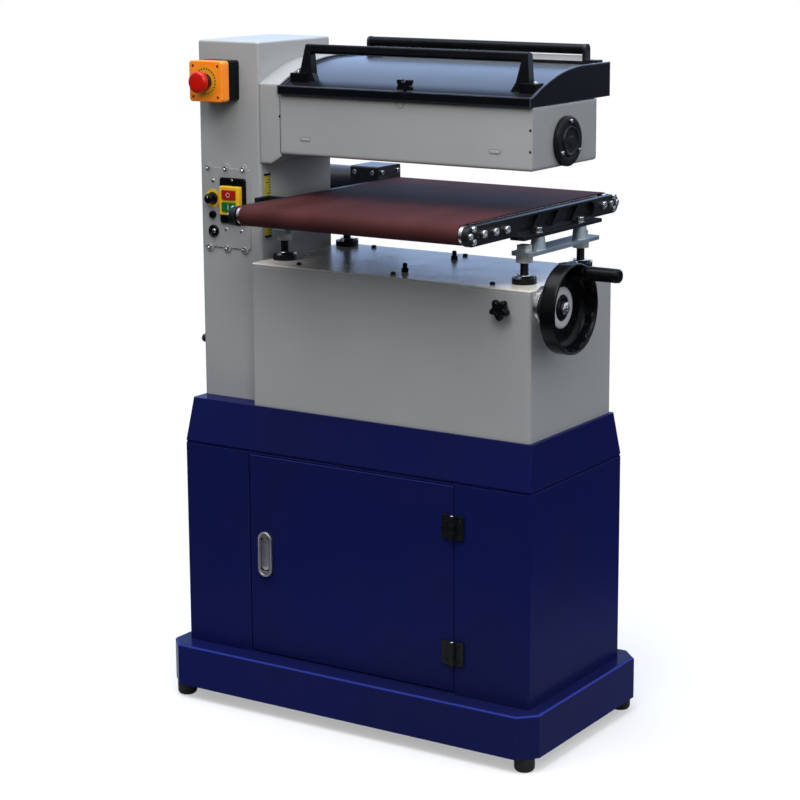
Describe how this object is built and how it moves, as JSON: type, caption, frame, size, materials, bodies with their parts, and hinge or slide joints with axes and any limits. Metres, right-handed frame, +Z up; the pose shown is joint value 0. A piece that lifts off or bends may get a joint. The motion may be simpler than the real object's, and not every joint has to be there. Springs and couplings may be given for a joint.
{
  "type": "open-ended drum sander",
  "caption": "Open-ended drum sander on a navy cabinet: grey column and head over a powered feed belt that a side handwheel raises, with a hinged dust hood and column controls.",
  "frame": {"origin": "on the floor, below the middle of the machine's outer box", "axes": "+X to the operator's right, towards the handwheel; +Y to the rear, the way the work is fed; +Z up"},
  "size_m": [0.91, 0.564, 1.2625],
  "materials": {
    "stand_paint": "gloss navy paint",
    "machine_paint": "semi-gloss warm grey paint",
    "deck_paint": "polished grey paint",
    "black_paint": "semi-gloss black paint",
    "foot_rubber": "matt",
    "black_plastic": "satin moulded plastic",
    "chrome_plate": "bright plated",
    "bright_steel": "turned steel",
    "zinc_steel": "blue-white zinc plate",
    "black_steel": "black oxide",
    "cast_iron": "machined cast iron",
    "motor_aluminium": "cast aluminium",
    "belt_cloth": "brown abrasive-faced cloth",
    "orange_plastic": "moulded",
    "red_plastic": "moulded",
    "green_plastic": "moulded",
    "yellow_plastic": "moulded"
  },
  "bodies": {
    "frame": {"plinth": "stand_paint", "rubber_feet": "foot_rubber", "cabinet_shell": "stand_paint", "cabinet_cap": "stand_paint", "lift_housing": "machine_paint", "housing_top_plate": "deck_paint", "column_shell": "machine_paint", "head_neck": "machine_paint", "head_housing": "machine_paint", "bearing_cap": "black_paint", "drum_bearings": "bright_steel", "drum_motor": "motor_aluminium", "drive_v_belt": "foot_rubber", "control_panel": "machine_paint", "estop_base": "black_plastic", "estop_lid": "orange_plastic", "switch_body": "black_plastic", "switch_bezel": "yellow_plastic", "lift_bushings": "black_paint", "lift_chain": "bright_steel", "wheel_flange": "chrome_plate", "door_hinges": "black_paint", "frame_screws": "bright_steel"},
    "door": {"cabinet_door": "stand_paint", "hinge_door_leaves": "black_paint", "latch_plate": "chrome_plate"},
    "paddle": {"latch_paddle": "chrome_plate"},
    "hood": {"drum_hood": "black_paint", "hood_handle": "black_plastic", "roller_brackets": "black_paint"},
    "hood_latch_lever": {"hood_latch": "black_plastic"},
    "return_bar": {"return_roller": "black_paint"},
    "drum": {"sanding_drum": "motor_aluminium", "abrasive_wrap": "belt_cloth", "drum_pulley": "cast_iron"},
    "motor_rotor": {"motor_pulley": "cast_iron"},
    "table": {"lead_screws": "black_steel", "post_clamps": "zinc_steel", "support_bars": "zinc_steel", "left_rail": "black_paint", "right_rail": "black_paint", "conveyor_bed": "bright_steel", "conveyor_belt": "belt_cloth", "feed_gearmotor": "motor_aluminium", "rail_bolts": "bright_steel"},
    "feed_roller_front": {"front_roller": "bright_steel"},
    "feed_roller_rear": {"rear_roller": "bright_steel"},
    "nut_front_left": {"lift_nut_front_left": "cast_iron"},
    "nut_front_right": {"lift_nut_front_right": "cast_iron"},
    "nut_rear_left": {"lift_nut_rear_left": "cast_iron"},
    "nut_rear_right": {"lift_nut_rear_right": "cast_iron"},
    "wheel": {"handwheel": "black_plastic", "wheel_shaft": "bright_steel"},
    "grip": {"crank_grip": "black_plastic"},
    "star_knob": {"lock_knob": "black_plastic"},
    "estop_mushroom": {"estop_button": "red_plastic"},
    "stop_push": {"stop_button": "red_plastic"},
    "start_push": {"start_button": "green_plastic"},
    "speed_dial_knob": {"speed_knob": "black_plastic"},
    "reset_push": {"reset_button": "black_plastic"}
  },
  "joints": [
    {"name": "handwheel_turn", "type": "hinge", "parent": "frame", "child": "wheel", "pos_m": [0.32, -0.109, 0.826], "axis": [-1, 0, 0], "range_deg": [-2401, 7201]},
    {"name": "table_lift", "type": "slide", "parent": "frame", "child": "table", "axis": [0, 0, 1], "range_m": [-0.02, 0.06]},
    {"name": "nut_front_left_turn", "type": "hinge", "parent": "frame", "child": "nut_front_left", "pos_m": [-0.25, -0.082, 0.8], "axis": [0, 0, 1], "range_deg": [-3601, 1201]},
    {"name": "nut_front_right_turn", "type": "hinge", "parent": "frame", "child": "nut_front_right", "pos_m": [0.268, -0.082, 0.8], "axis": [0, 0, 1], "range_deg": [-3601, 1201]},
    {"name": "nut_rear_left_turn", "type": "hinge", "parent": "frame", "child": "nut_rear_left", "pos_m": [-0.25, 0.124, 0.8], "axis": [0, 0, 1], "range_deg": [-3601, 1201]},
    {"name": "nut_rear_right_turn", "type": "hinge", "parent": "frame", "child": "nut_rear_right", "pos_m": [0.268, 0.124, 0.8], "axis": [0, 0, 1], "range_deg": [-3601, 1201]},
    {"name": "crank_spin", "type": "hinge", "parent": "wheel", "child": "grip", "pos_m": [0.39, -0.07652, 0.8846], "axis": [1, 0, 0], "continuous": true},
    {"name": "drum_spin", "type": "hinge", "parent": "frame", "child": "drum", "pos_m": [0.022, 0, 1.102], "axis": [1, 0, 0], "continuous": true},
    {"name": "motor_spin", "type": "hinge", "parent": "frame", "child": "motor_rotor", "pos_m": [-0.314, 0, 0.222], "axis": [1, 0, 0], "continuous": true},
    {"name": "rear_roller_spin", "type": "hinge", "parent": "table", "child": "feed_roller_rear", "pos_m": [0.022, 0.242, 0.96345], "axis": [1, 0, 0], "continuous": true},
    {"name": "front_roller_spin", "type": "hinge", "parent": "table", "child": "feed_roller_front", "pos_m": [0.022, -0.262, 0.96345], "axis": [1, 0, 0], "continuous": true},
    {"name": "return_roller_spin", "type": "hinge", "parent": "hood", "child": "return_bar", "pos_m": [0.028, 0.148, 1.2525], "axis": [1, 0, 0], "continuous": true},
    {"name": "hood_open", "type": "hinge", "parent": "frame", "child": "hood", "pos_m": [0.035, 0.145, 1.16], "axis": [-1, 0, 0], "range_deg": [0, 75]},
    {"name": "hood_latch_turn", "type": "hinge", "parent": "hood", "child": "hood_latch_lever", "pos_m": [0.046, -0.1215, 1.186], "axis": [0, 0, 1], "range_deg": [0, 90]},
    {"name": "door_open", "type": "hinge", "parent": "frame", "child": "door", "pos_m": [0.1775, -0.1774, 0.3035], "axis": [0, 0, 1], "range_deg": [0, 110]},
    {"name": "latch_pull", "type": "hinge", "parent": "door", "child": "paddle", "pos_m": [-0.2385, -0.1742, 0.2782], "axis": [1, 0, 0], "range_deg": [0, 35], "stiffness_Nm_per_rad": 0.1},
    {"name": "lock_knob_turn", "type": "hinge", "parent": "frame", "child": "star_knob", "pos_m": [0.266, -0.15, 0.822], "axis": [0, -1, 0], "range_deg": [0, 540]},
    {"name": "estop_press", "type": "slide", "parent": "frame", "child": "estop_mushroom", "axis": [0, 1, 0], "range_m": [0, 0.006], "stiffness_N_per_m": 600},
    {"name": "stop_press", "type": "slide", "parent": "frame", "child": "stop_push", "axis": [0, 1, 0], "range_m": [0, 0.003], "stiffness_N_per_m": 200},
    {"name": "start_press", "type": "slide", "parent": "frame", "child": "start_push", "axis": [0, 1, 0], "range_m": [0, 0.003], "stiffness_N_per_m": 200},
    {"name": "speed_turn", "type": "hinge", "parent": "frame", "child": "speed_dial_knob", "pos_m": [-0.389, -0.118, 0.967], "axis": [0, 1, 0], "range_deg": [-150, 150]},
    {"name": "reset_press", "type": "slide", "parent": "frame", "child": "reset_push", "axis": [0, 1, 0], "range_m": [0, 0.003], "stiffness_N_per_m": 100}
  ],
  "couplings": [
    {"joint": "handwheel_turn", "follows": "table_lift", "rad_per_m": 2094.4},
    {"joint": "nut_front_left_turn", "follows": "table_lift", "rad_per_m": -1047.2},
    {"joint": "nut_front_right_turn", "follows": "table_lift", "rad_per_m": -1047.2},
    {"joint": "nut_rear_left_turn", "follows": "table_lift", "rad_per_m": -1047.2},
    {"joint": "nut_rear_right_turn", "follows": "table_lift", "rad_per_m": -1047.2},
    {"joint": "motor_spin", "follows": "drum_spin", "ratio": 0.87805},
    {"joint": "front_roller_spin", "follows": "rear_roller_spin", "ratio": 1}
  ]
}
